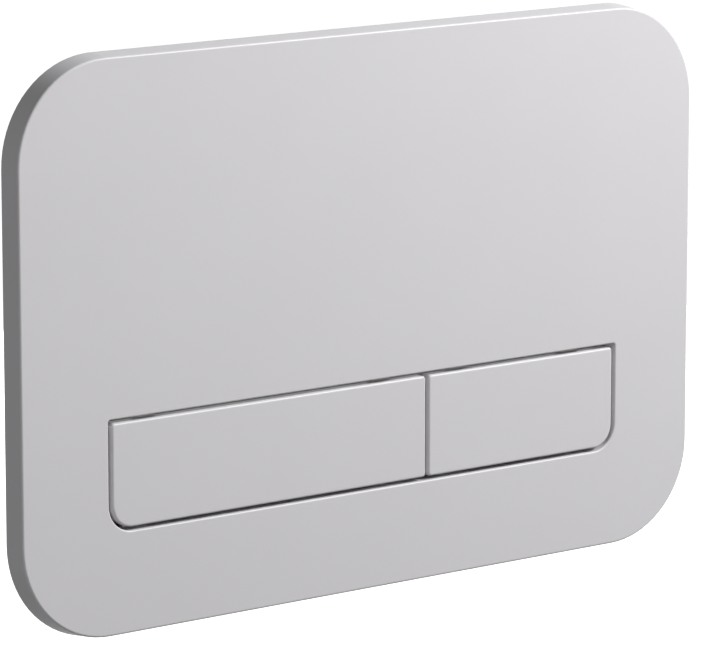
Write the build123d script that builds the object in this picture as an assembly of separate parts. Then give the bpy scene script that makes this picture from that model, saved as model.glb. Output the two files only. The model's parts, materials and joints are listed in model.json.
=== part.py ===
from build123d import *
import math
import os

# Dual-flush button plate for a concealed cistern, in millimetres.
# The wall is the plane y = 0, the front face looks along -Y, +X is right and +Z is up.
# The origin is the middle of the plate on the wall.

# Front plate
plate_width = 245.0
plate_height = 165.0
plate_depth = 7.0
plate_corner_radius = 30.0
plate_draft_angle = 7.0
plate_face_wall = 2.2
plate_side_wall = 2.4
plate_edge_round = 0.7
plate_rib_height = 1.2
rib_thickness = 1.2
rib_pitch = 30.0

# Button window in the front plate
window_width = 185.4
window_height = 32.4
window_top_drop = 19.9
window_low_radius = 8.0
window_top_radius = 0.8
window_edge_round = 0.55
collar_wall = 1.4
collar_depth = 2.4

# Buttons
full_flush_width = 111.5
button_gap = 1.1
button_split_gap = 1.1
button_face_wall = 2.0
button_skirt_wall = 1.5
button_skirt_depth = 3.6
button_square_radius = 1.0
button_edge_round = 0.7
peg_radius = 1.2
peg_length = 2.2
peg_inset = 18.0

# Hinges
hinge_above_window = 4.0
hinge_behind_face = 2.8
hinge_pin_radius = 1.25
hinge_pin_overhang = 1.0
hinge_arm_inset = 14.0
knuckle_radius = 2.4
knuckle_width = 6.0
lug_thickness = 3.0
pin_running_clearance = 0.05
pin_press_clearance = 0.01
hinge_side_gap = 0.3
press_angle = 8.0

# Rockers behind the buttons
rocker_fit = 0.15
rocker_thickness = 1.6
rocker_arm_depth = 2.8
rocker_arm_length = 22.0
rocker_rib_height = 2.0
rocker_rib_spacing = 16.0
nose_radius = 3.0
nose_width = 10.0
nose_height = 3.2
tab_width = 8.0
tab_thickness = 1.6
tab_inset = 11.0
stop_reach = 5.0
stop_side_margin = 1.0
buffer_radius = 2.0
buffer_thickness = 1.0
rest_gap = 0.05

# Push rods, their caps, nuts and springs
rod_spacing = 90.0
rod_lever = 25.0
rod_radius = 3.0
rod_length = 58.0
rod_tip_radius = 2.25
rod_tip_length = 10.0
rod_end_chamfer = 0.6
rod_thread_clearance = 0.05
nose_clearance = 0.25
cap_radius = 8.0
cap_thickness = 2.0
cap_edge_chamfer = 0.5
cap_hub_radius = 4.5
cap_hub_length = 5.2
lock_nut_across_flats = 10.0
lock_nut_thickness = 4.0
spring_mean_radius = 6.6
spring_wire_radius = 0.5
spring_wire_sides = 8
spring_turns = 5.0
seat_gap = 0.05

# Mounting frame
frame_margin = 7.0
frame_depth = 3.3
frame_web = 1.5
frame_wall = 2.0
frame_top_bar = 16.0
frame_corner_radius = 20.0
frame_opening_radius = 6.0
frame_collar_back = 7.0
frame_rib_setback = 0.5
opening_side_clearance = 2.1
opening_low_clearance = 0.6
tray_top_drop = 8.0
tray_top_gap = 1.5
tray_edge_round = 1.5
tray_rib_height = 1.5
guide_radius = 5.6
guide_length = 17.0
guide_clearance = 0.15
guide_spigot = 1.2
guide_stop_gap = 0.6
gusset_reach = 6.0
gusset_length = 11.0

# Snap hooks between the plate and the frame
hook_spacing = 60.0
hook_width = 12.0
hook_thickness = 1.6
hook_gap = 0.25
hook_setback = 0.4
barb_reach = 1.5
barb_gap = 0.2
pocket_side_gap = 0.8

# Fixing studs, washers and nuts
stud_spacing = 140.0
stud_front_radius = 3.0
stud_front_length = 9.9
stud_radius = 4.0
stud_length = 42.0
stud_collar_radius = 7.0
stud_collar_thickness = 2.5
stud_end_chamfer = 0.8
pad_thickness = 3.0
pad_height = 26.0
pad_end_reach = 12.0
pad_corner_radius = 8.0
pad_rim = 1.6
pad_rim_height = 3.0
slot_length = 16.0
slot_clearance = 0.4
washer_radius = 7.0
washer_thickness = 1.2
knob_radius = 8.5
knob_thickness = 5.0
knob_grooves = 12
knob_groove_radius = 1.1
knob_edge_chamfer = 0.6

# Depths from the front face back to the wall
wall_y = 0.0
front_y = -plate_depth
face_back_y = front_y + plate_face_wall
collar_back_y = face_back_y + collar_depth
rib_back_y = face_back_y + plate_rib_height
cap_back_y = front_y + button_face_wall
skirt_back_y = front_y + button_skirt_depth
rocker_back_y = cap_back_y + rocker_thickness
hinge_y = face_back_y + hinge_behind_face
nose_tip_y = rocker_back_y + nose_height
buffer_front_y = collar_back_y + rest_gap
tab_front_y = buffer_front_y + buffer_thickness
tab_back_y = tab_front_y + tab_thickness

# Heights and sides of the window, the buttons and the hinges
window_high = -window_top_drop
window_low = window_high - window_height
window_right = window_width / 2
window_left = -window_right
button_high = window_high - button_gap
button_low = window_low + button_gap
full_left = window_left + button_gap
full_right = full_left + full_flush_width
half_left = full_right + button_split_gap
half_right = window_right - button_gap
button_low_radius = window_low_radius - button_gap
hinge_z = window_high + hinge_above_window
rod_z = hinge_z - rod_lever
stop_low = window_low - stop_reach

# Depths of the push rods and of the tray that they pass through
rod_travel = rod_lever * math.radians(press_angle)
cap_front_y = nose_tip_y + nose_clearance
cap_flange_y = cap_front_y + cap_thickness
cap_hub_y = cap_flange_y + cap_hub_length
rod_front_y = cap_flange_y
rod_shoulder_y = rod_front_y + rod_length
nut_front_y = cap_hub_y + seat_gap
nut_back_y = nut_front_y + lock_nut_thickness
spigot_y = nut_back_y + rod_travel + guide_stop_gap
floor_y = spigot_y + guide_spigot
floor_back_y = floor_y + frame_wall
guide_back_y = floor_back_y + guide_length
spring_front_y = cap_flange_y + seat_gap
spring_back_y = floor_y - seat_gap

# Outline of the mounting frame inside the plate's rim
frame_right = plate_width / 2 - plate_side_wall - frame_margin
frame_high = plate_height / 2 - plate_side_wall - frame_margin
frame_front_y = wall_y - frame_depth
frame_web_y = frame_front_y + frame_web
opening_right = window_right + collar_wall + opening_side_clearance
opening_low = stop_low - opening_low_clearance
opening_high = frame_high - frame_top_bar
tray_high = hinge_z - tray_top_drop

# Places of the fixings
stud_x = stud_spacing / 2
pad_front_y = frame_collar_back - pad_thickness
washer_front_y = pad_front_y - seat_gap - washer_thickness
knob_back_y = washer_front_y - seat_gap
stud_collar_y = frame_collar_back + seat_gap
stud_tail_y = stud_collar_y + stud_collar_thickness


def along_y(outline, from_y, to_y, draft=0.0):
    """A solid whose outline is drawn in X and Z at the deeper end. Draft narrows it towards the front."""
    return extrude(Plane.XZ.offset(-to_y) * outline, amount=to_y - from_y, taper=draft)


def along_x(outline, from_x, to_x):
    """A solid whose outline is drawn in Y and Z, from one side to another."""
    return extrude(Plane.YZ.offset(from_x) * outline, amount=to_x - from_x)


def panel(left, right, low, high, corner_radii=()):
    """A rectangle with a radius for each corner: low left, low right, high right, high left."""
    outline = Pos((left + right) / 2, (low + high) / 2) * Rectangle(right - left, high - low)
    corners = [(left, low), (right, low), (right, high), (left, high)]
    for corner, radius in zip(corners, corner_radii):
        if radius > 0:
            outline = fillet(outline.vertices().sort_by_distance((*corner, 0))[0], radius)
    return outline


def grown(outline_sides, by):
    """The left, right, low and high sides of a rectangle moved outward."""
    left, right, low, high = outline_sides
    return left - by, right + by, low - by, high + by


def spread(count, pitch):
    """Evenly spaced places about the middle."""
    return [(i - (count - 1) / 2) * pitch for i in range(count)]


def places_within(limit, pitch):
    """As many evenly spaced places, half a pitch off the middle, as lie inside a limit on both sides."""
    return spread(2 * round(limit / pitch), pitch)


def hinge_arms(left, right):
    """Places of a rocker's two hinge arms."""
    return [left + hinge_arm_inset, right - hinge_arm_inset]


def stop_tabs(left, right):
    """Places of a rocker's two stop tabs."""
    return [left + tab_inset, right - tab_inset]


def window_panel():
    """Outline of the window: round at the bottom, nearly square at the top."""
    radii = [window_low_radius, window_low_radius, window_top_radius, window_top_radius]
    return panel(window_left, window_right, window_low, window_high, radii)


def window_collar():
    """Thin wall behind the window's edge. It is open at the top, where the hinge arms pass."""
    outer_radius = window_low_radius + collar_wall
    outer = panel(
        window_left - collar_wall,
        window_right + collar_wall,
        window_low - collar_wall,
        window_high,
        [outer_radius, outer_radius],
    )
    return along_y(outer - window_panel(), face_back_y, collar_back_y)


def hinge_lugs(left, right):
    """Pairs of bearing lugs, one at each side of each hinge arm."""
    profile = Pos(hinge_y, hinge_z) * Circle(knuckle_radius)
    profile += panel(face_back_y, hinge_y, hinge_z - knuckle_radius, hinge_z + knuckle_radius)
    profile -= Pos(hinge_y, hinge_z) * Circle(hinge_pin_radius + pin_press_clearance)
    reach = knuckle_width / 2 + hinge_side_gap
    lugs = []
    for x in hinge_arms(left, right):
        lugs.append(along_x(profile, x - reach - lug_thickness, x - reach))
        lugs.append(along_x(profile, x + reach, x + reach + lug_thickness))
    return lugs


def stop_blocks(left, right):
    """Blocks under the window that the rockers' tabs come to rest against."""
    half = tab_width / 2 + stop_side_margin
    return [
        along_y(panel(x - half, x + half, stop_low, window_low), face_back_y, collar_back_y)
        for x in stop_tabs(left, right)
    ]


def plate_ribs(cavity):
    """Low stiffening ribs on the back of the face, above the hinges and below the stops."""
    half = rib_thickness / 2
    half_width = plate_width / 2
    half_height = plate_height / 2
    upper_low = hinge_z + knuckle_radius + frame_wall
    ribs = Part()
    for x in places_within(half_width, rib_pitch):
        for low, high in [(upper_low, half_height), (-half_height, stop_low - frame_wall)]:
            ribs += along_y(panel(x - half, x + half, low, high), face_back_y, rib_back_y)
    z = upper_low
    while z < half_height - plate_side_wall - rib_pitch / 2:
        ribs += along_y(panel(-half_width, half_width, z - half, z + half), face_back_y, rib_back_y)
        z += rib_pitch
    return ribs & cavity


def snap_hook(x):
    """One springy hook at the top edge, with a barb that catches behind the frame's edge."""
    low = frame_high + hook_gap
    high = low + hook_thickness
    tip_y = wall_y - hook_setback
    barb_y = frame_web_y + barb_gap
    profile = Polyline(
        (face_back_y, low),
        (barb_y, low),
        (barb_y, low - barb_reach),
        (tip_y, low),
        (tip_y, high),
        (face_back_y, high),
        close=True,
    )
    return along_x(make_face(profile), x - hook_width / 2, x + hook_width / 2)


def front_plate():
    """Front plate: a shallow moulded pan with drafted sides, the window, hinge lugs, stops, ribs and hooks."""
    outline = RectangleRounded(plate_width, plate_height, plate_corner_radius)
    inner_outline = RectangleRounded(
        plate_width - 2 * plate_side_wall,
        plate_height - 2 * plate_side_wall,
        plate_corner_radius - plate_side_wall,
    )
    plate = along_y(outline, front_y, wall_y, plate_draft_angle)
    plate = fillet(plate.faces().sort_by(Axis.Y)[0].edges(), plate_edge_round)
    cavity = along_y(inner_outline, face_back_y, wall_y, plate_draft_angle)
    plate -= cavity
    plate -= along_y(window_panel(), front_y, face_back_y)
    window_edge = plate.faces().sort_by(Axis.Y)[0].inner_wires()[0]
    plate = fillet(window_edge.edges(), window_edge_round)
    plate += window_collar()
    plate += plate_ribs(cavity)
    for left, right in [(full_left, full_right), (half_left, half_right)]:
        plate += hinge_lugs(left, right)
        plate += stop_blocks(left, right)
    for x in spread(3, hook_spacing):
        hook = snap_hook(x)
        plate += hook
        plate += mirror(hook, about=Plane.XY)
    return plate


def button_sides(left, right):
    """Left, right, low and high side of a button."""
    return left, right, button_low, button_high


def button_radii(left, right, inset):
    """Corner radii of a button's outline, moved inward: round only where the window is."""
    square = max(button_square_radius - inset, button_edge_round)
    rounded = button_low_radius - inset
    low_left = rounded if left == full_left else square
    low_right = rounded if right == half_right else square
    return [low_left, low_right, square, square]


def peg_places(left, right):
    """Places of the four pegs that hold a button's cap on its rocker."""
    middle = (button_low + button_high) / 2
    rise = rocker_rib_spacing / 4
    return [(x, middle + z) for x in (left + peg_inset, right - peg_inset) for z in (rise, -rise)]


def button_cap(left, right):
    """Visible button: a dished cap with a rounded front edge, a skirt and pegs at the back."""
    sides = button_sides(left, right)
    cap = along_y(panel(*sides, button_radii(left, right, 0)), front_y, skirt_back_y)
    cap = fillet(cap.faces().sort_by(Axis.Y)[0].edges(), button_edge_round)
    inner_radii = button_radii(left, right, button_skirt_wall)
    cap -= along_y(panel(*grown(sides, -button_skirt_wall), inner_radii), cap_back_y, skirt_back_y)
    for x, z in peg_places(left, right):
        cap += along_y(Pos(x, z) * Circle(peg_radius), cap_back_y, cap_back_y + peg_length)
    return cap


def rocker_arm(x):
    """Tapered hinge arm that runs from the rocker's back up behind the window's top edge."""
    back = hinge_y + rocker_arm_depth / 2
    shoulder = hinge_z - rocker_arm_length / 2
    profile = make_face(
        Polyline(
            (rocker_back_y, hinge_z - rocker_arm_length),
            (rocker_back_y, hinge_z),
            (back, hinge_z),
            (back, shoulder),
            close=True,
        )
    )
    profile += Pos(hinge_y, hinge_z) * Circle(knuckle_radius)
    profile -= Pos(hinge_y, hinge_z) * Circle(hinge_pin_radius + pin_running_clearance)
    return along_x(profile, x - knuckle_width / 2, x + knuckle_width / 2)


def stop_tab(x):
    """Foot that reaches down behind the window's lower edge and carries a buffer."""
    plate_low = button_low + button_skirt_wall + rocker_fit
    profile = Polyline(
        (rocker_back_y, rod_z),
        (rocker_back_y, plate_low),
        (tab_front_y, plate_low),
        (tab_front_y, stop_low),
        (tab_back_y, stop_low),
        (tab_back_y, plate_low + tab_thickness),
        close=True,
    )
    return along_x(make_face(profile), x - tab_width / 2, x + tab_width / 2)


def push_nose(x):
    """Rounded nose that rolls on the thrust cap as the rocker tilts."""
    centre_y = nose_tip_y - nose_radius
    profile = Pos(centre_y, rod_z) * Circle(nose_radius)
    profile += panel(rocker_back_y, centre_y, rod_z - nose_radius, rod_z + nose_radius)
    profile &= panel(rocker_back_y, nose_tip_y, rod_z - nose_radius, rod_z + nose_radius)
    return along_x(profile, x - nose_width / 2, x + nose_width / 2)


def rocker_ribs(sides):
    """Two long ribs on the rocker's back, joined by short ones at the pegs' ends."""
    left, right, low, high = sides
    half = rib_thickness / 2
    middle = (low + high) / 2
    back = rocker_back_y + rocker_rib_height
    ribs = Part()
    for z in spread(2, rocker_rib_spacing):
        line = panel(left, right, middle + z - half, middle + z + half)
        ribs += along_y(line, rocker_back_y, back)
    for x in (left + peg_inset, right - peg_inset):
        line = panel(x - half, x + half, middle - rocker_rib_spacing / 2, middle + rocker_rib_spacing / 2)
        ribs += along_y(line, rocker_back_y, back)
    return ribs


def rocker(left, right, nose_x):
    """Lever behind a button: a plate inside the cap with hinge arms, ribs, stop tabs and a push nose."""
    inset = button_skirt_wall + rocker_fit
    sides = grown(button_sides(left, right), -inset)
    outline = panel(*sides, button_radii(left, right, inset))
    lever = along_y(outline, cap_back_y, rocker_back_y)
    ribs = rocker_ribs(sides)
    lever += ribs & along_y(outline, rocker_back_y, nose_tip_y)
    for x in hinge_arms(left, right):
        lever += rocker_arm(x)
    for x in stop_tabs(left, right):
        lever += stop_tab(x)
    lever += push_nose(nose_x)
    for x, z in peg_places(left, right):
        hole = Pos(x, z) * Circle(peg_radius + rocker_fit)
        lever -= along_y(hole, cap_back_y, nose_tip_y)
    return lever


def buffers(left, right):
    """Rubber pads on the front of a rocker's stop tabs."""
    z = stop_low + buffer_radius + rest_gap
    return Part() + [
        along_y(Pos(x, z) * Circle(buffer_radius), buffer_front_y, tab_front_y) for x in stop_tabs(left, right)
    ]


def hinge_pin(left, right):
    """Steel rod through all the lugs and knuckles of one button."""
    first, last = hinge_arms(left, right)
    reach = knuckle_width / 2 + hinge_side_gap + lug_thickness + hinge_pin_overhang
    return along_x(Pos(hinge_y, hinge_z) * Circle(hinge_pin_radius), first - reach, last + reach)


def thrust_cap(x):
    """Mushroom head of a push rod, with a threaded hub behind its flange."""
    head = along_y(Pos(x, rod_z) * Circle(cap_radius), cap_front_y, cap_flange_y)
    head = chamfer(head.edges(), cap_edge_chamfer)
    hub = Circle(cap_hub_radius) - Circle(rod_radius + rod_thread_clearance)
    return head + along_y(Pos(x, rod_z) * hub, cap_flange_y, cap_hub_y)


def push_rod(x):
    """Long rod with a thinner tip that enters the flush valve's lever."""
    rod = along_y(Pos(x, rod_z) * Circle(rod_radius), rod_front_y, rod_shoulder_y)
    rod += along_y(Pos(x, rod_z) * Circle(rod_tip_radius), rod_shoulder_y, rod_shoulder_y + rod_tip_length)
    return chamfer(rod.edges().group_by(Axis.Y)[-1], rod_end_chamfer)


def lock_nut(x):
    """Hexagon nut behind the thrust cap."""
    hexagon = RegularPolygon(lock_nut_across_flats / 2, 6, major_radius=False)
    hexagon -= Circle(rod_radius + rod_thread_clearance)
    return along_y(Pos(x, rod_z) * hexagon, nut_front_y, nut_back_y)


def return_spring(x):
    """Compression spring with flat ground ends, between the thrust cap and the tray's floor.

    The wire's round section is drawn with a few sides, which keeps the long coil light.
    """
    length = spring_back_y - spring_front_y
    coil = Helix(
        pitch=length / spring_turns,
        height=length,
        radius=spring_mean_radius,
        center=(x, spring_front_y, rod_z),
        direction=(0, 1, 0),
    )
    wire = RegularPolygon(spring_wire_radius, spring_wire_sides)
    section = Plane(coil @ 0, z_dir=coil % 0) * wire
    spring = sweep(section, path=coil, is_frenet=True)
    room = Circle(spring_mean_radius + 2 * spring_wire_radius)
    return spring & along_y(Pos(x, rod_z) * room, spring_front_y, spring_back_y)


def frame_ring():
    """Flat ring round the frame's opening: a channel that is open to the wall, with cross ribs."""
    opening_sides = (-opening_right, opening_right, opening_low, opening_high)
    collar_sides = grown(opening_sides, frame_wall)
    opening = panel(*opening_sides, [frame_opening_radius] * 4)
    collar = panel(*collar_sides, [frame_opening_radius + frame_wall] * 4)
    outer = RectangleRounded(2 * frame_right, 2 * frame_high, frame_corner_radius)
    channel = RectangleRounded(
        2 * (frame_right - frame_wall), 2 * (frame_high - frame_wall), frame_corner_radius - frame_wall
    )
    ring = along_y(outer - opening, frame_front_y, frame_web_y)
    ring += along_y(outer - channel, frame_web_y, wall_y)
    ring += along_y(collar - opening, frame_web_y, frame_collar_back)
    half = rib_thickness / 2
    bars = Sketch()
    for x in places_within(frame_right, rib_pitch):
        bars += panel(x - half, x + half, -frame_high, frame_high)
    for z in places_within(frame_high, rib_pitch):
        bars += panel(-frame_right, frame_right, z - half, z + half)
    bars &= channel - collar
    ring += along_y(bars, frame_web_y, wall_y - frame_rib_setback)
    return ring


def hook_pockets():
    """Notches in the ring's outer wall that the snap hooks' barbs reach into."""
    half = hook_width / 2 + pocket_side_gap
    pockets = Part()
    for x in spread(3, hook_spacing):
        notch = panel(x - half, x + half, frame_high - frame_wall, frame_high)
        pocket = along_y(notch, frame_web_y, wall_y)
        pockets += pocket
        pockets += mirror(pocket, about=Plane.XY)
    return pockets


def rod_guide(x):
    """Guide tube on the tray's floor, with a spigot for the spring and gussets behind."""
    guide = along_y(Pos(x, rod_z) * Circle(guide_radius), spigot_y, guide_back_y)
    half = rib_thickness / 2
    reach = guide_radius + gusset_reach
    gusset_back_y = floor_back_y + gusset_length
    gusset = make_face(
        Polyline(
            (floor_back_y, rod_z - reach),
            (floor_back_y, rod_z + reach),
            (gusset_back_y, rod_z + guide_radius - half),
            (gusset_back_y, rod_z - guide_radius + half),
            close=True,
        )
    )
    upright = along_x(gusset, x - half, x + half)
    guide += upright
    guide += upright.rotate(Axis((x, 0, rod_z), (0, 1, 0)), 90)
    return guide


def tray():
    """Deep tray behind the buttons that carries the rod guides."""
    inner_sides = (-opening_right, opening_right, opening_low, tray_high)
    inner = panel(*inner_sides, [frame_opening_radius] * 2)
    outer = panel(*grown(inner_sides, frame_wall), [frame_opening_radius + frame_wall] * 2)
    pan = along_y(outer, wall_y + tray_top_gap, floor_back_y)
    pan = fillet(pan.faces().sort_by(Axis.Y)[-1].edges(), tray_edge_round)
    pan -= along_y(inner, wall_y + tray_top_gap, floor_y)
    half = rib_thickness / 2
    ribs = panel(-opening_right, opening_right, rod_z - half, rod_z + half)
    for x in places_within(opening_right, rib_pitch):
        ribs += panel(x - half, x + half, opening_low, tray_high)
    pan += along_y(ribs, floor_back_y, floor_back_y + tray_rib_height)
    for x in spread(2, rod_spacing):
        pan += rod_guide(x)
        bore = Circle(rod_radius + guide_clearance)
        pan -= along_y(Pos(x, rod_z) * bore, spigot_y, guide_back_y)
    return pan


def bolt_pad(side):
    """Recessed pad with a slot for a fixing stud and a raised rim."""
    half_height = pad_height / 2
    inner_x = stud_x - pad_end_reach
    inner_radius = pad_corner_radius - pad_rim
    outline = panel(
        inner_x,
        opening_right + frame_wall,
        -half_height,
        half_height,
        [pad_corner_radius, 0, 0, pad_corner_radius],
    )
    rim_line = outline - panel(
        inner_x + pad_rim,
        opening_right + frame_wall,
        pad_rim - half_height,
        half_height - pad_rim,
        [inner_radius, 0, 0, inner_radius],
    )
    pad = along_y(outline, pad_front_y, frame_collar_back)
    pad += along_y(rim_line, pad_front_y - pad_rim_height, pad_front_y)
    slot_width = 2 * (stud_front_radius + slot_clearance)
    slot = Pos(stud_x, 0) * SlotOverall(slot_length, slot_width)
    pad -= along_y(slot, pad_front_y, frame_collar_back)
    return pad if side > 0 else mirror(pad, about=Plane.YZ)


def mounting_frame():
    """Moulded frame behind the plate: ring, tray with rod guides, bolt pads and hook pockets."""
    frame = frame_ring() + tray()
    for side in (1, -1):
        frame += bolt_pad(side)
    return frame - hook_pockets()


def fixing_stud(x):
    """Stud with a thin front thread, a collar behind the pad and a thick tail for the cistern."""
    stud = along_y(Pos(x, 0) * Circle(stud_front_radius), stud_collar_y - stud_front_length, stud_collar_y)
    stud += along_y(Pos(x, 0) * Circle(stud_collar_radius), stud_collar_y, stud_tail_y)
    stud += along_y(Pos(x, 0) * Circle(stud_radius), stud_tail_y, stud_tail_y + stud_length)
    ends = stud.edges().group_by(Axis.Y)
    return chamfer(ends[0] + ends[-1], stud_end_chamfer)


def fixing_washer(x):
    """Plain washer between a knurled nut and its pad."""
    ring = Circle(washer_radius) - Circle(stud_front_radius + rod_thread_clearance)
    return along_y(Pos(x, 0) * ring, washer_front_y, washer_front_y + washer_thickness)


def fixing_nut(x):
    """Knurled nut that clamps the frame on its stud."""
    knob = along_y(Circle(knob_radius), knob_back_y - knob_thickness, knob_back_y)
    knob = chamfer(knob.edges(), knob_edge_chamfer)
    grooves = [place * Circle(knob_groove_radius) for place in PolarLocations(knob_radius, knob_grooves)]
    cuts = Sketch() + grooves + Circle(stud_front_radius + rod_thread_clearance)
    knob -= along_y(cuts, knob_back_y - knob_thickness, knob_back_y)
    return Pos(x, 0, 0) * knob


rod_places = spread(2, rod_spacing)
button_places = {"full_flush": (full_left, full_right), "half_flush": (half_left, half_right)}

pieces = {"front_plate": front_plate(), "mounting_frame": mounting_frame()}
for (name, (left, right)), rod_x in zip(button_places.items(), rod_places):
    pieces[f"{name}_button"] = button_cap(left, right)
    pieces[f"{name}_rocker"] = rocker(left, right, rod_x)
    pieces[f"{name}_buffers"] = buffers(left, right)
    pieces[f"{name}_hinge_pin"] = hinge_pin(left, right)
    pieces[f"{name}_thrust_cap"] = thrust_cap(rod_x)
    pieces[f"{name}_push_rod"] = push_rod(rod_x)
    pieces[f"{name}_lock_nut"] = lock_nut(rod_x)
    pieces[f"{name}_return_spring"] = return_spring(rod_x)
for name, make in {
    "fixing_studs": fixing_stud,
    "fixing_washers": fixing_washer,
    "fixing_nuts": fixing_nut,
}.items():
    pieces[name] = Part() + [make(x) for x in spread(2, stud_spacing)]

os.makedirs("parts", exist_ok=True)
for name, piece in pieces.items():
    export_step(piece, f"parts/{name}.step")
    print(name, len(piece.solids()), round(piece.volume, 1))
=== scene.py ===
# %% [markdown]
# # A flush button plate, dressed for its portrait
#
# The plate is a shallow plastic pan with two rocker buttons in a low window. Behind it sit a mounting
# frame, push rods, springs and studs. Every piece takes its place and its length from the solid model,
# which is loaded here as a fixed frame. This lesson adds what a solid model leaves out: the camera, the
# light, the finishes and the fine threads and coils.

# %% Load the solid model
import json
import math

import bmesh
import bpy
from mathutils import Matrix, Vector


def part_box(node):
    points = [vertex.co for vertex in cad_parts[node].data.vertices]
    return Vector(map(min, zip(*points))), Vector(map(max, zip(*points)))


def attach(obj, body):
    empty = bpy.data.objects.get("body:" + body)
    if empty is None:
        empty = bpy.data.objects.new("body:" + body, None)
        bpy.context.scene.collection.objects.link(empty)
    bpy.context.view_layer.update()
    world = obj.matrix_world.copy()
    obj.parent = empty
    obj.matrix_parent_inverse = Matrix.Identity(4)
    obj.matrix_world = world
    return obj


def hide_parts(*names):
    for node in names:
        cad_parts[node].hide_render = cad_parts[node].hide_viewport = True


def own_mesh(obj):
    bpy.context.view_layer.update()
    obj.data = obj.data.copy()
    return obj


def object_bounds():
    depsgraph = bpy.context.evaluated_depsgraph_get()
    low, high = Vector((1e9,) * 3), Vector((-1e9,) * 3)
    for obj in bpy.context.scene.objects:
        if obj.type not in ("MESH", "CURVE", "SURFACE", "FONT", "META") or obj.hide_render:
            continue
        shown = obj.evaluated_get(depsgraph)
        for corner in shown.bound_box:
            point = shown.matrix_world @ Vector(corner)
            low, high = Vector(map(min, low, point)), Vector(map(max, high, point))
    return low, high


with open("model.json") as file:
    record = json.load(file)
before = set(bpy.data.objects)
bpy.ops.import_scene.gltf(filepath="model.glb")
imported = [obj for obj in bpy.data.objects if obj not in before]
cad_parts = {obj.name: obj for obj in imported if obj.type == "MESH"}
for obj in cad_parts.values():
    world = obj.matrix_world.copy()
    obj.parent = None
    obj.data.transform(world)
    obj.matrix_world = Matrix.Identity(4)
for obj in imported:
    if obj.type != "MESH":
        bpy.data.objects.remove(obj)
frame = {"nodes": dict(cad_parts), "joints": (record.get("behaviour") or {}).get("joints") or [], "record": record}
cad_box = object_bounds()
nodes = frame["nodes"]


def in_millimetres(box):
    """The two corners of a box, rounded for print."""
    return [[round(1000 * value, 2) for value in corner] for corner in box]


print("loaded", len(nodes), "pieces, box in millimetres:", in_millimetres(cad_box))

# %% [markdown]
# ## The camera
#
# The photograph was taken from the left and a little above, from far away with a long lens, so the
# plate's edges stay nearly parallel. A camera can be placed by hand until the picture looks right, or
# worked out from the outline. Here the turn, the tilt, the distance and the focal length were worked out
# from the plate's four edges and its corner arcs, so the sizes of the solid model fall on the outline.

# %% Place the camera
PHOTO_WIDTH = 709
SENSOR_WIDTH = 36.0
FOCAL_PIXELS = 4699.7
CAMERA_TURN = math.radians(37.623)
CAMERA_TILT = math.radians(10.706)
CAMERA_ROLL = math.radians(0.016)
CAMERA_DISTANCE = 1.36244
PLATE_OFF_AXIS_RIGHT = 0.000838
PLATE_OFF_AXIS_UP = 0.003935


def photo_camera():
    """A camera that looks at the plate from the left and above, with the plate a little off its axis."""
    turn_sin = math.sin(CAMERA_TURN)
    turn_cos = math.cos(CAMERA_TURN)
    tilt_sin = math.sin(CAMERA_TILT)
    tilt_cos = math.cos(CAMERA_TILT)
    forward = Vector((turn_sin * tilt_cos, turn_cos * tilt_cos, -tilt_sin))
    level_right = Vector((turn_cos, -turn_sin, 0.0))
    level_up = Vector((turn_sin * tilt_sin, turn_cos * tilt_sin, tilt_cos))
    right = math.cos(CAMERA_ROLL) * level_right - math.sin(CAMERA_ROLL) * level_up
    up = math.sin(CAMERA_ROLL) * level_right + math.cos(CAMERA_ROLL) * level_up
    place = -(PLATE_OFF_AXIS_RIGHT * right + PLATE_OFF_AXIS_UP * up + CAMERA_DISTANCE * forward)
    lens = bpy.data.cameras.new("photo_camera")
    lens.sensor_width = SENSOR_WIDTH
    lens.lens = FOCAL_PIXELS * SENSOR_WIDTH / PHOTO_WIDTH
    camera = bpy.data.objects.new("photo_camera", lens)
    camera.matrix_world = Matrix(
        (
            (right.x, up.x, -forward.x, place.x),
            (right.y, up.y, -forward.y, place.y),
            (right.z, up.z, -forward.z, place.z),
            (0.0, 0.0, 0.0, 1.0),
        )
    )
    bpy.context.scene.collection.objects.link(camera)
    return camera


bpy.context.scene.camera = photo_camera()
bpy.context.scene.view_settings.view_transform = "Standard"
print("lens in millimetres:", round(bpy.context.scene.camera.data.lens, 1))

# %% [markdown]
# ## Shader maths as plain expressions
#
# A material in Blender is a net of nodes. Wiring each sum by hand hides what it means, so a small class
# wraps a socket and turns `a * b + c` into Math nodes. It knows the operators with a number in front too,
# so that `1.0 - mask` works.


# %% Wrap a socket
class Wire:
    """One output socket in a material. Sums and products of wires add Math nodes."""

    def __init__(self, finish, socket):
        self.finish = finish
        self.socket = socket

    def math(self, operation, *values):
        return self.finish.node("ShaderNodeMath", {"operation": operation}, dict(enumerate(values)))

    def __add__(self, other):
        return self.math("ADD", self, other)

    __radd__ = __add__

    def __mul__(self, other):
        return self.math("MULTIPLY", self, other)

    __rmul__ = __mul__

    def __sub__(self, other):
        return self.math("SUBTRACT", self, other)

    def __rsub__(self, other):
        return self.math("SUBTRACT", other, self)

    def clamped(self):
        return self.math("MINIMUM", self.math("MAXIMUM", self, 0.0), 1.0)

    def between(self, low, high):
        """Zero below one value, one above another, and a straight rise between them."""
        return ((self - low) * (1.0 / (high - low))).clamped()

    def swing(self, width):
        """A noise about 0.5, turned into a change of up to half a width each way."""
        return (self - 0.5) * width


print("wires can add, subtract and multiply")

# %% [markdown]
# ## A finish under construction
#
# Every other kind of node comes from one method, which takes the node's type, its settings and its
# sockets. The nodes that most finishes share have short names on top of it: a place on the object, noise,
# a blend of two colours and a bump. The noise is measured in metres on the object itself. A picture could
# be wrapped round each piece instead, but noise needs no unwrapping and has the same scale everywhere.


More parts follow.
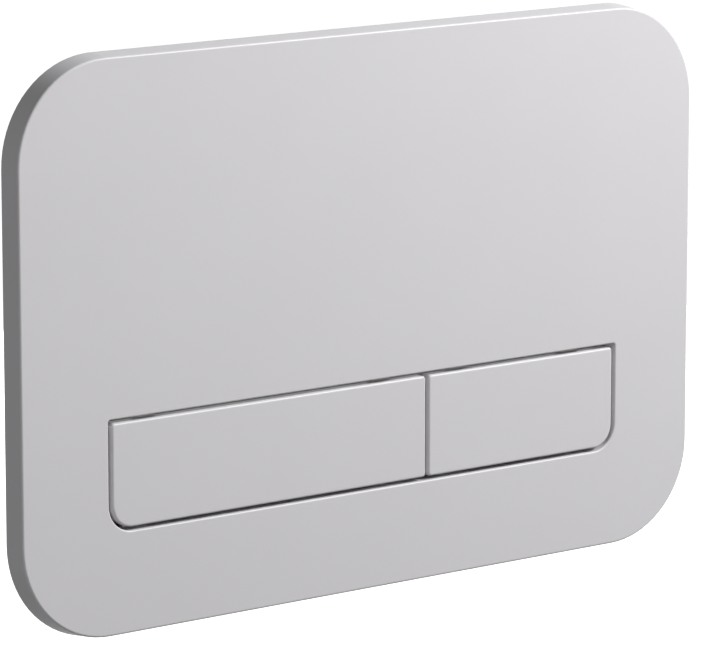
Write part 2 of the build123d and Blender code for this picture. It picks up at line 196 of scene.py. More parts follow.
# %% Build a material
class Finish:
    """A material under construction: its node tree and one method that adds nodes to it."""

    def __init__(self, name):
        self.material = bpy.data.materials.new(name)
        self.material.use_nodes = True
        self.tree = self.material.node_tree
        self.tree.nodes.clear()

    def node(self, kind, settings=None, sockets=None, out=0):
        """Adds a node, sets its settings first, then fills or links its sockets."""
        added = self.tree.nodes.new(kind)
        for key, value in (settings or {}).items():
            setattr(added, key, value)
        for key, value in (sockets or {}).items():
            if isinstance(value, Wire):
                self.tree.links.new(value.socket, added.inputs[key])
            else:
                added.inputs[key].default_value = value
        return Wire(self, added.outputs[out]) if added.outputs else None

    def place(self):
        """Coordinates on the object itself, in metres."""
        return self.node("ShaderNodeTexCoord", out="Object")

    def noise(self, per_metre, detail, stretch=(1.0, 1.0, 1.0)):
        """Cloudy values about 0.5, at a given number of features per metre along each axis."""
        sides = {0: self.place(), 1: stretch}
        scaled = self.node("ShaderNodeVectorMath", {"operation": "MULTIPLY"}, sides)
        sockets = {"Vector": scaled, "Scale": per_metre, "Detail": detail}
        return self.node("ShaderNodeTexNoise", {}, sockets)

    def blend(self, factor, first, second):
        """A colour between two others."""
        sockets = {0: factor, 6: first, 7: second}
        return self.node("ShaderNodeMix", {"data_type": "RGBA"}, sockets, out=2)

    def mottle(self, factor, colour, dark, light):
        """A colour that wanders between a darker and a lighter shade of itself."""
        return self.blend(factor, shade(colour, dark), shade(colour, light))

    def bump(self, height, depth, strength):
        """A normal that makes a height, from 0 to 1, stand out by a depth in metres."""
        sockets = {"Height": height, "Distance": depth, "Strength": strength}
        return self.node("ShaderNodeBump", {}, sockets)

    def shader(self, sockets):
        """One Principled shader."""
        return self.node("ShaderNodeBsdfPrincipled", {}, sockets)

    def end(self, shader):
        """Ends the net in a shader and gives the material."""
        self.node("ShaderNodeOutputMaterial", {}, {"Surface": shader})
        return self.material


def shade(colour, share):
    """A colour made darker or lighter as a whole, with the fourth number that sockets want."""
    return tuple(share * channel for channel in colour) + (1.0,)


def grey(value):
    """A neutral colour."""
    return (value, value, value, 1.0)


print("finishes have noise, blends, mottles and bumps")

# %% [markdown]
# ## White background
#
# The photograph has a plain white background. A bright white room would give that, but it would light the
# plate from all sides and lose the dark left edge. So the sky is white only for the rays that see it,
# straight or in a reflection. For the rays that carry light it is a weak, even fill.

# %% Sky
SKY_FILL = 0.03
SEEING_RAYS = ("Is Camera Ray", "Is Glossy Ray", "Is Transmission Ray")


def seen(finish):
    """One for rays that see the background straight or in a reflection, zero for rays that light things."""
    straight, reflected, through = [finish.node("ShaderNodeLightPath", out=name) for name in SEEING_RAYS]
    return (straight + reflected + through).clamped()


class Sky(Finish):
    """The world's node tree, built with the same tools as a material."""

    def __init__(self, name):
        self.world = bpy.data.worlds.new(name)
        self.world.use_nodes = True
        self.tree = self.world.node_tree
        self.tree.nodes.clear()


def studio_sky():
    """White where it is seen, and a weak even fill elsewhere."""
    sky = Sky("studio_sky")
    strength = seen(sky) * (1.0 - SKY_FILL) + SKY_FILL
    light = sky.node("ShaderNodeBackground", {}, {"Color": grey(1.0), "Strength": strength})
    sky.node("ShaderNodeOutputWorld", {}, {"Surface": light})
    return sky.world


bpy.context.scene.world = studio_sky()
print("sky:", bpy.context.scene.world.name, "with a fill of", SKY_FILL)

# %% [markdown]
# ## Paper floor
#
# A plate like this hangs on a wall and doesn't stand, so the paper lies some way below it. Where it is
# seen, the paper is pale, keeps the plate's shadow and turns to plain white further away, so that no edge
# shows. For the rays that carry light it is dark, so that it doesn't brighten the plate from below. Two
# shaders, mixed by the kind of ray, do both.

# %% Paper
FLOOR_DROP = 0.11
FLOOR_SIZE = 30.0
FLOOR_GLOW = 0.62
FLOOR_WHITE_FROM = 0.30
FLOOR_WHITE_TO = 0.40
PAPER_SEEN = 0.42
PAPER_LIGHT = 0.06
PAPER_FIBRE_DARK = 0.97
PAPER_ROUGHNESS = 0.95


def studio_paper():
    """Matt paper: pale where it is seen, white further away, and dark for the rays that carry light."""
    finish = Finish("studio_paper")
    fibre = finish.noise(per_metre=220.0, detail=4.0)
    far = finish.node("ShaderNodeVectorMath", {"operation": "LENGTH"}, {0: finish.place()}, out="Value")
    white = far.between(FLOOR_WHITE_FROM, FLOOR_WHITE_TO)
    pale = finish.blend(fibre, grey(PAPER_FIBRE_DARK * PAPER_SEEN), grey(PAPER_SEEN))
    glow = finish.blend(white, grey(FLOOR_GLOW), grey(1.0))
    paper = {
        "Base Color": pale,
        "Roughness": PAPER_ROUGHNESS,
        "Emission Color": glow,
        "Emission Strength": 1.0,
    }
    shown = finish.shader(paper)
    lighting = finish.shader({"Base Color": grey(PAPER_LIGHT), "Roughness": PAPER_ROUGHNESS})
    return finish.end(finish.node("ShaderNodeMixShader", {}, {0: seen(finish), 1: lighting, 2: shown}))


def studio_floor():
    """A wide sheet of paper below the plate."""
    sheet = bpy.data.meshes.new("studio_floor")
    half = FLOOR_SIZE / 2
    height = cad_box[0][2] - FLOOR_DROP
    around = ((-half, -half), (half, -half), (half, half), (-half, half))
    sheet.from_pydata([(x, y, height) for x, y in around], [], [(0, 1, 2, 3)])
    sheet.materials.append(studio_paper())
    floor = bpy.data.objects.new("studio_floor", sheet)
    bpy.context.scene.collection.objects.link(floor)
    return floor


print("paper floor:", studio_floor().name, "lies", FLOOR_DROP, "m below the plate")

# %% [markdown]
# ## Softboxes
#
# In the photograph soft light comes from the upper right and leaves the left side dark. A softbox gives
# that key light. It is feathered, which means aimed past the plate, here above it, so the light fades
# towards the foot of the plate as it does in the photograph. A weak softbox in front on the left opens
# the shade in the narrow gaps, and a low one behind the plate shows the mechanism without touching the
# front.

# %% Lamps
PLATE_MIDDLE = (0.0, 0.0, 0.0)
SOFTBOXES = {
    "key_softbox": {
        "place": (0.62, -0.565, 0.615),
        "aim": (0.0, 0.0, 0.45),
        "width": 0.28,
        "height": 0.28,
        "watts": 15.9,
    },
    "left_fill": {
        "place": (-0.68, -0.78, 0.10),
        "aim": PLATE_MIDDLE,
        "width": 0.60,
        "height": 0.60,
        "watts": 2.75,
    },
    "back_fill": {
        "place": (0.45, 0.90, -0.10),
        "aim": PLATE_MIDDLE,
        "width": 0.90,
        "height": 0.14,
        "watts": 7.0,
    },
}


def softbox(name, place, aim, width, height, watts):
    """An area lamp at a place, turned to the point that it aims at."""
    lamp = bpy.data.lights.new(name, "AREA")
    lamp.shape = "RECTANGLE"
    lamp.size = width
    lamp.size_y = height
    lamp.energy = watts
    box = bpy.data.objects.new(name, lamp)
    box.location = place
    box.rotation_euler = (Vector(aim) - box.location).to_track_quat("-Z", "Y").to_euler()
    bpy.context.scene.collection.objects.link(box)
    return box


for name, settings in SOFTBOXES.items():
    lamp = softbox(name, **settings)
    print(name, "at", round(lamp.location.length, 2), "m from the plate's middle")

# %% [markdown]
# ## Satin grey front
#
# The plate and the two button caps have the same light, neutral grey with a soft satin sheen. Such a
# finish is sprayed on moulded plastic, and it mirrors less than bare plastic does, so the sheen is set
# below Blender's usual 0.5. A fine grain breaks up the reflections, and a broad, faint waviness stands
# for the way a large flat moulding is never quite even. The paint covers the front and the sides. The
# back, which looks at the wall, is left as it came from the mould: darker, duller and a little cloudy.
# Two materials would need the faces sorted by hand. Here the surface's own direction tells them apart.

# %% Satin grey
KINDS = ("full_flush", "half_flush")
SATIN = (0.60, 0.588, 0.606)
SATIN_ROUGHNESS = 0.40
SATIN_SHEEN = 0.33
BARE = (0.43, 0.43, 0.435)
BARE_ROUGHNESS = 0.58


def satin_grey():
    """Light grey satin paint with a fine grain, and bare plastic on the faces that look at the wall."""
    finish = Finish("satin_grey")
    cloud = finish.noise(per_metre=35.0, detail=3.0)
    grain = finish.noise(per_metre=3800.0, detail=2.0)
    wave = finish.noise(per_metre=60.0, detail=1.0)
    normal = finish.node("ShaderNodeTexCoord", out="Normal")
    backward = finish.node("ShaderNodeSeparateXYZ", {}, {0: normal}, out="Y")
    bare = backward.between(low=0.3, high=0.7)
    coat = finish.mottle(cloud * 0.7 + grain * 0.3, SATIN, dark=0.98, light=1.02)
    plastic = finish.mottle(cloud.between(low=0.3, high=0.7), BARE, dark=0.92, light=1.06)
    satin = SATIN_ROUGHNESS + cloud.swing(0.06) + grain.swing(0.06)
    sockets = {
        "Base Color": finish.blend(bare, coat, plastic),
        "Roughness": satin + bare * (BARE_ROUGHNESS - SATIN_ROUGHNESS),
        "Specular IOR Level": SATIN_SHEEN,
        "Normal": finish.bump(grain * 0.6 + wave * 0.4, depth=0.000008, strength=0.5),
    }
    return finish.end(finish.shader(sockets))


finishes = {"satin_grey": satin_grey()}


def paint(slot, *names):
    """Gives solid-model pieces the finish of a slot."""
    for name in names:
        for place in nodes[name].material_slots:
            place.material = finishes[slot]


paint("satin_grey", "front_plate", *[f"{kind}_button" for kind in KINDS])
print("satin grey on the front plate and", len(KINDS), "buttons")

# %% [markdown]
# ## Moulded plastics
#
# Everything behind the plate that isn't metal or rubber is injection moulded. Such plastic shows three
# things up close: pale and dark clouds where the melt flowed, a fine spark-eroded grain from the mould,
# and small differences in gloss. A material could be drawn up for each piece, but they differ only in
# colour, gloss and grain, so one function makes them all. The colours follow the record: off-white frame,
# ivory levers, blue rods, black nuts and grey studs.

# %% Five moulded plastics
SLOT_COLOURS = {m["slot"]: tuple(m["base_color"][:3]) for m in frame["record"]["materials"]}
FLOW_STRETCH = (0.5, 1.0, 1.0)
MOULDINGS = {
    "frame_plastic": {"roughness": 0.50, "grain_per_metre": 2600.0, "grain_depth": 0.000030},
    "lever_plastic": {"roughness": 0.38, "grain_per_metre": 3400.0, "grain_depth": 0.000012},
    "rod_plastic": {"roughness": 0.32, "grain_per_metre": 3000.0, "grain_depth": 0.000010},
    "nut_plastic": {"roughness": 0.34, "grain_per_metre": 2800.0, "grain_depth": 0.000020},
    "stud_plastic": {"roughness": 0.36, "grain_per_metre": 2800.0, "grain_depth": 0.000014},
}


def moulded_plastic(slot, roughness, grain_per_metre, grain_depth):
    """Injection-moulded plastic in the colour of a record slot."""
    finish = Finish(slot)
    colour = SLOT_COLOURS[slot]
    flow = finish.noise(per_metre=45.0, detail=4.0, stretch=FLOW_STRETCH)
    grain = finish.noise(per_metre=grain_per_metre, detail=2.0)
    worn = finish.noise(per_metre=520.0, detail=3.0, stretch=FLOW_STRETCH)
    scuff = worn.between(low=0.62, high=0.72)
    clouded = finish.mottle(flow.between(low=0.3, high=0.7), colour, dark=0.9, light=1.05)
    sockets = {
        "Base Color": finish.blend(grain * 0.12, clouded, shade(colour, 0.75)),
        "Roughness": roughness + flow.swing(0.12) + grain.swing(0.1) + scuff * 0.08,
        "Normal": finish.bump(grain, depth=grain_depth, strength=0.7),
    }
    return finish.end(finish.shader(sockets))


for slot, mould in MOULDINGS.items():
    finishes[slot] = moulded_plastic(slot, **mould)
paint("frame_plastic", "mounting_frame")
paint("nut_plastic", "fixing_nuts")
for kind in KINDS:
    paint("lever_plastic", f"{kind}_rocker", f"{kind}_thrust_cap")
print("moulded plastics:", list(MOULDINGS))

# %% [markdown]
# ## Rubber
#
# The buffers are black rubber with a pale bloom, which is how rubber looks after some months on a shelf.
# Plain black would hide their shape. The bloom is a broad noise with a soft threshold, and fine pores
# keep the surface from shining.

# %% Rubber


def buffer_rubber():
    """Black rubber with a pale, patchy bloom."""
    finish = Finish("stop_rubber")
    bloom = finish.noise(per_metre=700.0, detail=4.0).between(low=0.45, high=0.75)
    pores = finish.noise(per_metre=5200.0, detail=2.0)
    sockets = {
        "Base Color": finish.blend(bloom, grey(0.028), grey(0.075)),
        "Roughness": 0.72 + bloom * 0.14,
        "Normal": finish.bump(pores, depth=0.000020, strength=0.8),
    }
    return finish.end(finish.shader(sockets))


finishes["stop_rubber"] = buffer_rubber()
print("rubber:", finishes["stop_rubber"].name)

# %% [markdown]
# ## Plated and drawn steel
#
# The hinge pins and washers are zinc plated, so they are metal with a faint yellow and blue tint that
# changes in patches. The springs are bright drawn wire, darker than the zinc and streaked by the die. One
# even metal would do for both from far away. Stretched noise draws the streaks that tell them apart.

# %% Steel
ZINC_WARM = (0.66, 0.63, 0.56, 1.0)
ZINC_COOL = (0.58, 0.61, 0.66, 1.0)


def zinc_plate():
    """Plated steel with warm and cool patches and fine streaks round the piece."""
    finish = Finish("plated_steel")
    patch = finish.noise(per_metre=420.0, detail=3.0)
    streak = finish.noise(per_metre=9000.0, detail=2.0, stretch=(1.0, 0.08, 0.08))
    sockets = {
        "Base Color": finish.blend(patch.between(low=0.35, high=0.65), ZINC_WARM, ZINC_COOL),
        "Metallic": 1.0,
        "Roughness": 0.24 + patch * 0.12 + streak * 0.08,
        "Normal": finish.bump(streak, depth=0.000006, strength=0.6),
    }
    return finish.end(finish.shader(sockets))


def spring_wire():
    """Drawn spring steel with die streaks and darker patches."""
    finish = Finish("spring_steel")
    steel = SLOT_COLOURS["spring_steel"]
    streak = finish.noise(per_metre=4200.0, detail=3.0, stretch=(0.3, 1.0, 0.3))
    patch = finish.noise(per_metre=300.0, detail=3.0)
    sockets = {
        "Base Color": finish.mottle(patch.between(low=0.3, high=0.7), steel, dark=0.8, light=1.1),
        "Metallic": 1.0,
        "Roughness": 0.22 + streak * 0.14,
        "Normal": finish.bump(streak, depth=0.000008, strength=0.6),
    }
    return finish.end(finish.shader(sockets))


finishes["plated_steel"] = zinc_plate()
finishes["spring_steel"] = spring_wire()
print("finishes so far:", list(finishes))

# %% [markdown]
# ## From mesh to piece
#
# The threads, coils and rounded edges are new meshes, each in place of a plain solid of the same size.
# They are made as a bmesh, which is Blender's editable mesh. Smooth shading suits their round sides, and
# edges that turn by more than a set angle stay sharp, which is simpler than marking them one by one. Each
# piece rides on a body, so that it moves with its button.

# %% New pieces
SHARP_ANGLE = math.radians(38.0)


def new_piece(name, shape, slot, body, *replaced):
    """A piece from a bmesh, with smooth faces, sharp edges and the finish of a slot."""
    bmesh.ops.recalc_face_normals(shape, faces=shape.faces)
    mesh = bpy.data.meshes.new(name)
    shape.to_mesh(mesh)
    shape.free()
    mesh.shade_smooth()
    mesh.set_sharp_from_angle(angle=SHARP_ANGLE)
    mesh.materials.append(finishes[slot])
    piece = bpy.data.objects.new(name, mesh)
    bpy.context.scene.collection.objects.link(piece)
    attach(piece, body)
    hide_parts(*replaced)
    return piece


def middle(node):
    """The middle of a node's box."""
    low, high = (Vector(corner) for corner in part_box(node))
    return (low + high) / 2


def front_and_back(node):
    """Where a node begins and ends along the plate's depth."""
    low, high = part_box(node)
    return low[1], high[1]


def axis_place(node):
    """A point on the axis of a node that is turned about the plate's depth."""
    return Vector((middle(node).x, 0.0, middle(node).z))


def twin_axis_places(node, radius):
    """Points on both axes of a node that holds the same turned piece twice, left and right."""
    low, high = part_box(node)
    return [Vector((x, 0.0, (low[2] + high[2]) / 2)) for x in (low[0] + radius, high[0] - radius)]


print("edges stay sharp from", round(math.degrees(SHARP_ANGLE)), "degrees")

# %% [markdown]
# ## A small lathe
#
# Rods, studs, pins, washers and buffers are all turned shapes. Blender's Screw modifier could spin an
# outline, but it can't cut a thread that runs out cleanly at its ends. So a small lathe builds the mesh
# band by band, between rings of points. Merging the doubled points at the end closes the shape.

# %% Lathe
LATHE_SIDES = 36
MERGE_DISTANCE = 1e-6
BACKWARD = (0.0, 1.0, 0.0)


class Lathe:
    """Turned shapes about one axis, collected in a single mesh."""

    def __init__(self, axis):
        self.shape = bmesh.new()
        self.axis = Vector(axis)
        self.across = Vector((0.0, 0.0, 1.0))
        self.up = self.axis.cross(self.across)
        self.centre = Vector((0.0, 0.0, 0.0))

    def point(self, along, radius, column):
        angle = 2 * math.pi * column / LATHE_SIDES
        out = math.cos(angle) * self.across + math.sin(angle) * self.up
        return self.shape.verts.new(self.centre + along * self.axis + radius * out)

    def ring(self, along, radius):
        return [self.point(along, radius, column) for column in range(LATHE_SIDES)]

    def band(self, first, second):
        """Faces between two rings of points."""
        for column in range(LATHE_SIDES):
            after = (column + 1) % LATHE_SIDES
            self.shape.faces.new((first[column], first[after], second[after], second[column]))

    def bands(self, rings):
        """Faces between each ring and the next."""
        for first, second in zip(rings, rings[1:]):
            self.band(first, second)

    def turn(self, outline):
        """Spins an outline, given as pairs of a place along the axis and a radius."""
        self.bands([self.ring(along, radius) for along, radius in outline])

    def finish(self, name, slot, body, *replaced):
        """Closes the mesh and makes it a piece that rides on a body in place of solid-model nodes."""
        bmesh.ops.remove_doubles(self.shape, verts=self.shape.verts, dist=MERGE_DISTANCE)
        bmesh.ops.dissolve_degenerate(self.shape, edges=self.shape.edges, dist=MERGE_DISTANCE)
        return new_piece(name, self.shape, slot, body, *replaced)


def edge_points(form, end, way, radius, size):
    """Points round an edge, from the end face to the side, with a way of 1 in front and -1 behind.

    A form holds shares of the edge's size: how far from the end face, and how far below the radius.
    """
    return [(end + way * off_end * size, radius - off_side * size) for off_end, off_side in form]


print("lathe with", LATHE_SIDES, "sides")

# %% [markdown]
# ## Cutting a thread
#
# A thread could be a spiral ridge laid over a plain rod, but two shapes that pass through each other
# leave a ragged seam. Here the rows of the mesh climb as they go round, so every edge follows the thread.
# A row that would pass an end is pressed on to the end ring, and the thread's height fades to nothing
# over the last turn, as it does where a die stops.

# %% Thread
# Shares of the pitch and of the thread's height, over one turn
THREAD_FORM = (
    (0.00, 0.0),
    (0.14, 0.0),
    (0.25, 0.2),
    (0.38, 0.85),
    (0.46, 1.0),
    (0.60, 1.0),
    (0.68, 0.85),
    (0.81, 0.2),
)
THREAD_STEPS = len(THREAD_FORM)


def thread_row(lathe, row, start, stop, root, crest, pitch):
    """One climbing row of points, held between the thread's ends."""
    turn, step = divmod(row, THREAD_STEPS)
    share, height = THREAD_FORM[step]
    points = []
    for column in range(LATHE_SIDES):
        along = start + (turn + share + column / LATHE_SIDES - 1.0) * pitch
        along = min(max(along, start), stop)
        fade = min(1.0, (along - start) / pitch, (stop - along) / pitch)
        points.append(lathe.point(along, root + (crest - root) * height * fade, column))
    return points


def cut_thread(lathe, start, stop, root, crest, pitch):
    """A threaded length that begins and ends at the root."""
    count = (math.ceil((stop - start) / pitch) + 2) * THREAD_STEPS
    rows = [thread_row(lathe, row, start, stop, root, crest, pitch) for row in range(count)]
    for row in range(count - 1):
        for column in range(LATHE_SIDES):
            last = column == LATHE_SIDES - 1
            after = 0 if last else column + 1
            climb = THREAD_STEPS if last else 0
            low = min(row + climb, count - 1)
            high = min(row + 1 + climb, count - 1)
            if low < high:
                near = (rows[row][column], rows[low][after])
                far = (rows[high][after], rows[row + 1][column])
                lathe.shape.faces.new(near + far)


print("thread with", THREAD_STEPS, "points a pitch")

# %% [markdown]
# ## Push rods
#
# Each button works a long plastic rod that reaches back to the flush valve. The fitter turns the rod in
# its thrust cap to set its length, so it is threaded nearly all the way. A coarse, rounded thread suits
# moulded plastic. The thin tip that enters the valve's lever is plain, with a rounded end. A bump on a
# plain rod could draw the thread, but its outline would stay smooth, so the thread is cut in the mesh.

# %% Threaded push rods
ROD_RADIUS = 0.0030
ROD_BEVEL = 0.0003
ROD_PITCH = 0.0016
ROD_THREAD_DEPTH = 0.00042
ROD_PLAIN_END = 0.0016
ROD_TIP_RADIUS = 0.00225
ROD_TIP_LENGTH = 0.0100
ROD_TIP_ROUND = 0.0006
ROD_TIP_FORM = ((0.0, 1.2), (0.08, 0.6), (0.35, 0.2), (1.0, 0.0))


def push_rod(kind):
    """One threaded rod with its plain shoulder and tip."""
    node = f"{kind}_push_rod"
    front, back = front_and_back(node)
    shoulder = back - ROD_TIP_LENGTH
    thread_end = shoulder - ROD_PLAIN_END
    root = ROD_RADIUS - ROD_THREAD_DEPTH
    tip = edge_points(ROD_TIP_FORM, back, -1, ROD_TIP_RADIUS, ROD_TIP_ROUND)
    lathe = Lathe(BACKWARD)
    lathe.centre = axis_place(node)
    lathe.turn([(front, 0.0), (front, root)])
    cut_thread(lathe, front, thread_end, root, ROD_RADIUS, ROD_PITCH)
    lathe.turn(
        [
            (thread_end, root),
            (thread_end + ROD_BEVEL, ROD_RADIUS),
            (shoulder - ROD_BEVEL, ROD_RADIUS),
            (shoulder, ROD_RADIUS - ROD_BEVEL),
            (shoulder, ROD_TIP_RADIUS),
            *reversed(tip),
            (back, 0.0),
        ]
    )
    return lathe.finish(f"{kind}_threaded_rod", "rod_plastic", f"{kind}_plunger", node)


rods = [push_rod(kind) for kind in KINDS]
print("push rods:", [(rod.name, len(rod.data.polygons)) for rod in rods])

# %% [markdown]
# ## Fixing studs
#
# Two grey studs screw into the cistern's front. Each has a thin thread in front for the knurled nut, a
# round collar that lies behind the frame's pad, and a thick tail. They could be two pieces, or one and
# its copy. Both are one piece here, because they are the same fastener twice and never move apart.

# %% Threaded studs
STUD_BEVEL = 0.0003
STUD_START_BEVEL = 0.0004
STUD_POINT = 0.0008
STUD_PLAIN = 0.0012
STUD_FRONT_RADIUS = 0.0030
STUD_FRONT_PITCH = 0.0012
STUD_FRONT_DEPTH = 0.00036
STUD_COLLAR_RADIUS = 0.0070
STUD_COLLAR_THICKNESS = 0.0025
STUD_COLLAR_ROUND = 0.0004
STUD_COLLAR_FORM = ((0.0, 1.0), (0.3, 0.3), (1.0, 0.0))
STUD_RADIUS = 0.0040
STUD_LENGTH = 0.0420
STUD_PITCH = 0.0020
STUD_THREAD_DEPTH = 0.00058


def fixing_studs():
    """The two studs, left and right of the plate's middle."""
    front, back = front_and_back("fixing_studs")
    tail = back - STUD_LENGTH
    collar = tail - STUD_COLLAR_THICKNESS
    front_start = front + STUD_BEVEL
    front_stop = collar - STUD_PLAIN
    front_root = STUD_FRONT_RADIUS - STUD_FRONT_DEPTH
    tail_start = tail + STUD_PLAIN + STUD_BEVEL
    tail_stop = back - STUD_POINT
    root = STUD_RADIUS - STUD_THREAD_DEPTH
    collar_front = edge_points(STUD_COLLAR_FORM, collar, 1, STUD_COLLAR_RADIUS, STUD_COLLAR_ROUND)
    collar_back = edge_points(STUD_COLLAR_FORM, tail, -1, STUD_COLLAR_RADIUS, STUD_COLLAR_ROUND)
    lathe = Lathe(BACKWARD)
    for centre in twin_axis_places("fixing_studs", STUD_COLLAR_RADIUS):
        lathe.centre = centre
        lathe.turn([(front, 0.0), (front, front_root - STUD_START_BEVEL), (front_start, front_root)])
        cut_thread(lathe, front_start, front_stop, front_root, STUD_FRONT_RADIUS, STUD_FRONT_PITCH)
        lathe.turn(
            [
                (front_stop, front_root),
                (front_stop + STUD_BEVEL, STUD_FRONT_RADIUS),
                (collar, STUD_FRONT_RADIUS),
                *collar_front,
                *reversed(collar_back),
                (tail, STUD_RADIUS),
                (tail + STUD_PLAIN, STUD_RADIUS),
                (tail_start, root),
            ]
        )
        cut_thread(lathe, tail_start, tail_stop, root, STUD_RADIUS, STUD_PITCH)
        lathe.turn([(tail_stop, root), (back, root - STUD_POINT), (back, 0.0)])
    return lathe.finish("threaded_studs", "stud_plastic", "plate", "fixing_studs")


studs = fixing_studs()
print("studs:", len(studs.data.polygons), "faces")

# %% [markdown]
# ## Washers and hinge pins
#
# A washer is punched from sheet, so the edge on one side is rolled over. A hinge pin is a cut length of
# steel rod with both ends bevelled. A Bevel modifier could round their edges, but it rounds both sides
# alike, so the outlines are given to the lathe point by point.

# %% Steel turnings
WASHER_BORE = 0.00305
WASHER_RADIUS = 0.0070
WASHER_ROUND = 0.00035
WASHER_FORM = ((0.0, 1.0), (0.1, 0.5), (0.4, 0.15), (1.0, 0.0))
PIN_AXIS = (1.0, 0.0, 0.0)
PIN_RADIUS = 0.00125
PIN_BEVEL = 0.0003


def fixing_washers():
    """Both washers, with the rolled edge to the front."""
    front, back = front_and_back("fixing_washers")
    rolled = edge_points(WASHER_FORM, front, 1, WASHER_RADIUS, WASHER_ROUND)
    lathe = Lathe(BACKWARD)
    for centre in twin_axis_places("fixing_washers", WASHER_RADIUS):
        lathe.centre = centre
        bore = [(back, WASHER_BORE), (front, WASHER_BORE)]
        lathe.turn([*bore, *rolled, (back, WASHER_RADIUS), (back, WASHER_BORE)])
    return lathe.finish("punched_washers", "plated_steel", "plate", "fixing_washers")


def hinge_pin(kind):
    """A bevelled steel rod."""
    node = f"{kind}_hinge_pin"
    left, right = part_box(node)[0][0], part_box(node)[1][0]
    lathe = Lathe(PIN_AXIS)
    lathe.centre = Vector((0.0, middle(node).y, middle(node).z))
    lathe.turn(
        [
            (left, 0.0),
            (left, PIN_RADIUS - PIN_BEVEL),
            (left + PIN_BEVEL, PIN_RADIUS),
            (right - PIN_BEVEL, PIN_RADIUS),
            (right, PIN_RADIUS - PIN_BEVEL),
            (right, 0.0),
        ]
    )
    return lathe.finish(f"{kind}_pin", "plated_steel", "plate", node)


steel_pieces = [fixing_washers(), *[hinge_pin(kind) for kind in KINDS]]
print("steel turnings:", [piece.name for piece in steel_pieces])

# %% [markdown]
# ## Buffers
#
# A buffer is a small rubber dome with a dimple, pressed into the foot of a rocker. It softens the knock
# when a button springs back. A squashed sphere would be close, but the dimple needs its own outline, so
# the buffers are turned too.

# %% Rubber buffers
BUFFER_RADIUS = 0.0020
# Shares of the thickness and of the radius: the back, the side, the dome and the dimple
BUFFER_FORM = (
    (1.0, 0.0),
    (1.0, 1.0),
    (0.55, 1.0),
    (0.3, 0.95),
    (0.1, 0.82),
    (0.0, 0.62),
    (0.04, 0.4),
    (0.14, 0.2),
    (0.18, 0.0),
)


def rubber_buffers(kind):
    """Two domed pads with a dimple, on the front of a rocker's feet."""
    node = f"{kind}_buffers"
    front, back = front_and_back(node)
    thick = back - front
    lathe = Lathe(BACKWARD)
    for centre in twin_axis_places(node, BUFFER_RADIUS):
        lathe.centre = centre
        lathe.turn([(front + depth * thick, share * BUFFER_RADIUS) for depth, share in BUFFER_FORM])
    return lathe.finish(f"{kind}_rubber_buffers", "stop_rubber", f"{kind}_lever", node)


buffers = [rubber_buffers(kind) for kind in KINDS]
print("buffers:", [piece.name for piece in buffers])

# %% [markdown]
# ## Lock nuts
#
# A hexagon nut isn't a plain prism: its corners are turned off by a cone, which leaves a curved edge on
# each flat. A boolean with a cone could cut it, but the curve needs no cutting. At every angle the
# prism's radius is known, and the further it reaches past the cone, the deeper the edge lies. So each
# ring of the nut is worked out directly.

# %% Hexagon nuts
NUT_HALF_FLATS = 0.0050
NUT_BORE = 0.00305
NUT_BORE_BEVEL = 0.0004
NUT_CONE_START = 0.0049
NUT_CONE_SLOPE = math.tan(math.radians(30.0))


def hexagon_radius(column):
    """Radius of the hexagon in one column, with a flat to the top."""
    sixth = math.pi / 3
    angle = (2 * math.pi * column / LATHE_SIDES + sixth / 2) % sixth - sixth / 2
    return NUT_HALF_FLATS / math.cos(angle)


def lock_nut(kind):
    """One nut with its corners turned off at both ends."""
    node = f"{kind}_lock_nut"
    front, back = front_and_back(node)
    lathe = Lathe(BACKWARD)
    lathe.centre = axis_place(node)
    columns = range(LATHE_SIDES)
    radii = [hexagon_radius(column) for column in columns]
    depths = [NUT_CONE_SLOPE * (radius - NUT_CONE_START) for radius in radii]
    lathe.bands(
        [
            lathe.ring(back - NUT_BORE_BEVEL, NUT_BORE),
            lathe.ring(front + NUT_BORE_BEVEL, NUT_BORE),
            lathe.ring(front, NUT_BORE + NUT_BORE_BEVEL),
            lathe.ring(front, NUT_CONE_START),
            [lathe.point(front + depths[c], radii[c], c) for c in columns],
            [lathe.point(back - depths[c], radii[c], c) for c in columns],
            lathe.ring(back, NUT_CONE_START),
            lathe.ring(back, NUT_BORE + NUT_BORE_BEVEL),
            lathe.ring(back - NUT_BORE_BEVEL, NUT_BORE),
        ]
    )
    return lathe.finish(f"{kind}_hexagon_nut", "nut_plastic", f"{kind}_plunger", node)


nuts = [lock_nut(kind) for kind in KINDS]
print("lock nuts:", [nut.name for nut in nuts])

# %% [markdown]
# ## The run of a coil
#
# A compression spring has closed end coils, ground flat so that they sit square, and open coils between
# them. A Screw modifier would give an even coil. Here the wire rises slowly in the ends, by one wire's
# thickness a turn, and faster in the middle, with a short stretch where it opens.

# %% Heights along the coil
WIRE_RADIUS = 0.0005
SPRING_TURNS = 6.0
STEPS_A_TURN = 40
CLOSED_TURNS = 0.9
OPENING_TURNS = 0.4


def open_share(turn):
    """How far the coil has opened, from zero in the closed ends to one in the middle."""
    from_end = min(turn, SPRING_TURNS - turn)
    return min(1.0, max(0.0, (from_end - CLOSED_TURNS) / OPENING_TURNS))


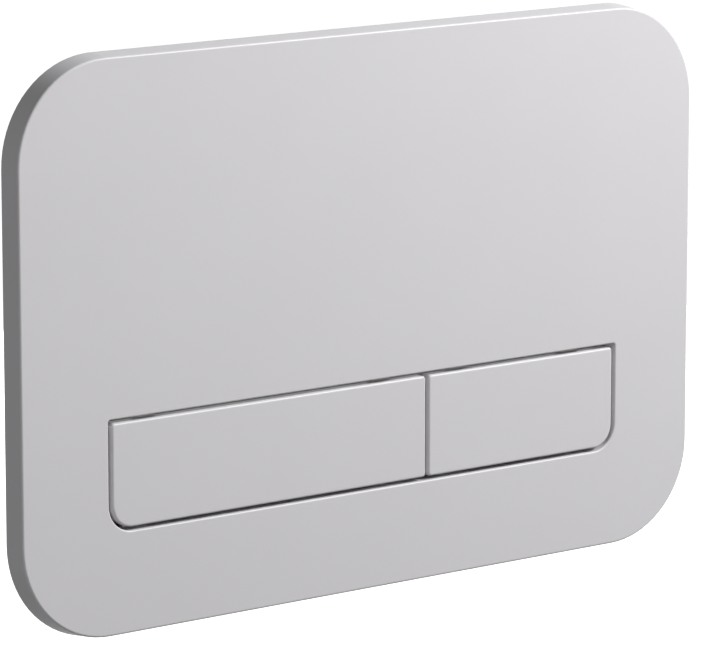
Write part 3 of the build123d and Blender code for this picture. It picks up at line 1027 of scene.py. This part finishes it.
def coil_heights(length):
    """Height of the wire's middle at every step, so that the closed ends touch and the rest is even."""
    steps = round(SPRING_TURNS * STEPS_A_TURN)
    shares = [open_share((step + 0.5) / STEPS_A_TURN) for step in range(steps)]
    closed_rise = 2 * WIRE_RADIUS / STEPS_A_TURN
    open_rise = (length - closed_rise * steps) / sum(shares)
    heights = [0.0]
    for share in shares:
        heights.append(heights[-1] + closed_rise + open_rise * share)
    return heights


print("coil of", SPRING_TURNS, "turns, closed for", CLOSED_TURNS, "of a turn at each end")

# %% [markdown]
# ## Return springs
#
# The springs sit round the push rods and send the buttons back. A curve with a bevel could make the wire,
# but the ends need to be ground, so the tube is built along the coil in code and its points are held
# inside the two end planes. Each spring rides on the plate and keeps its rest length, also when a
# button is pressed.

# %% Coil springs
SPRING_MEAN_RADIUS = 0.0066
WIRE_SIDES = 12
GROUND_SHARE = 0.5


def coil_mesh(centre, front, back):
    """A tube along the coil, with both ends ground flat and closed."""
    shape = bmesh.new()
    inset = GROUND_SHARE * WIRE_RADIUS
    rings = []
    for step, height in enumerate(coil_heights(back - front - 2 * inset)):
        angle = 2 * math.pi * step / STEPS_A_TURN
        out = Vector((math.cos(angle), 0.0, math.sin(angle)))
        ring = []
        for side in range(WIRE_SIDES):
            around = 2 * math.pi * side / WIRE_SIDES
            point = centre + (SPRING_MEAN_RADIUS + WIRE_RADIUS * math.cos(around)) * out
            point.y = min(max(front + inset + height + WIRE_RADIUS * math.sin(around), front), back)
            ring.append(shape.verts.new(point))
        rings.append(ring)
    for first, second in zip(rings, rings[1:]):
        for side in range(WIRE_SIDES):
            after = (side + 1) % WIRE_SIDES
            shape.faces.new((first[side], first[after], second[after], second[side]))
    shape.faces.new(rings[0])
    shape.faces.new(rings[-1])
    return shape


def return_spring(kind):
    """One spring at its rest length, riding on the plate."""
    node = f"{kind}_return_spring"
    front, back = front_and_back(node)
    centre = axis_place(f"{kind}_push_rod")
    shape = coil_mesh(centre, front, back)
    spring = new_piece(f"{kind}_coil_spring", shape, "spring_steel", "plate", node)
    joint = next(j for j in frame["joints"] if j["name"] == f"{kind}_plunge")
    keep = 1.0 - joint["range_m"][1] / (back - front)
    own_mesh(spring)
    return spring


springs = [return_spring(kind) for kind in KINDS]
print("springs:", [(spring.name, len(spring.data.polygons)) for spring in springs])
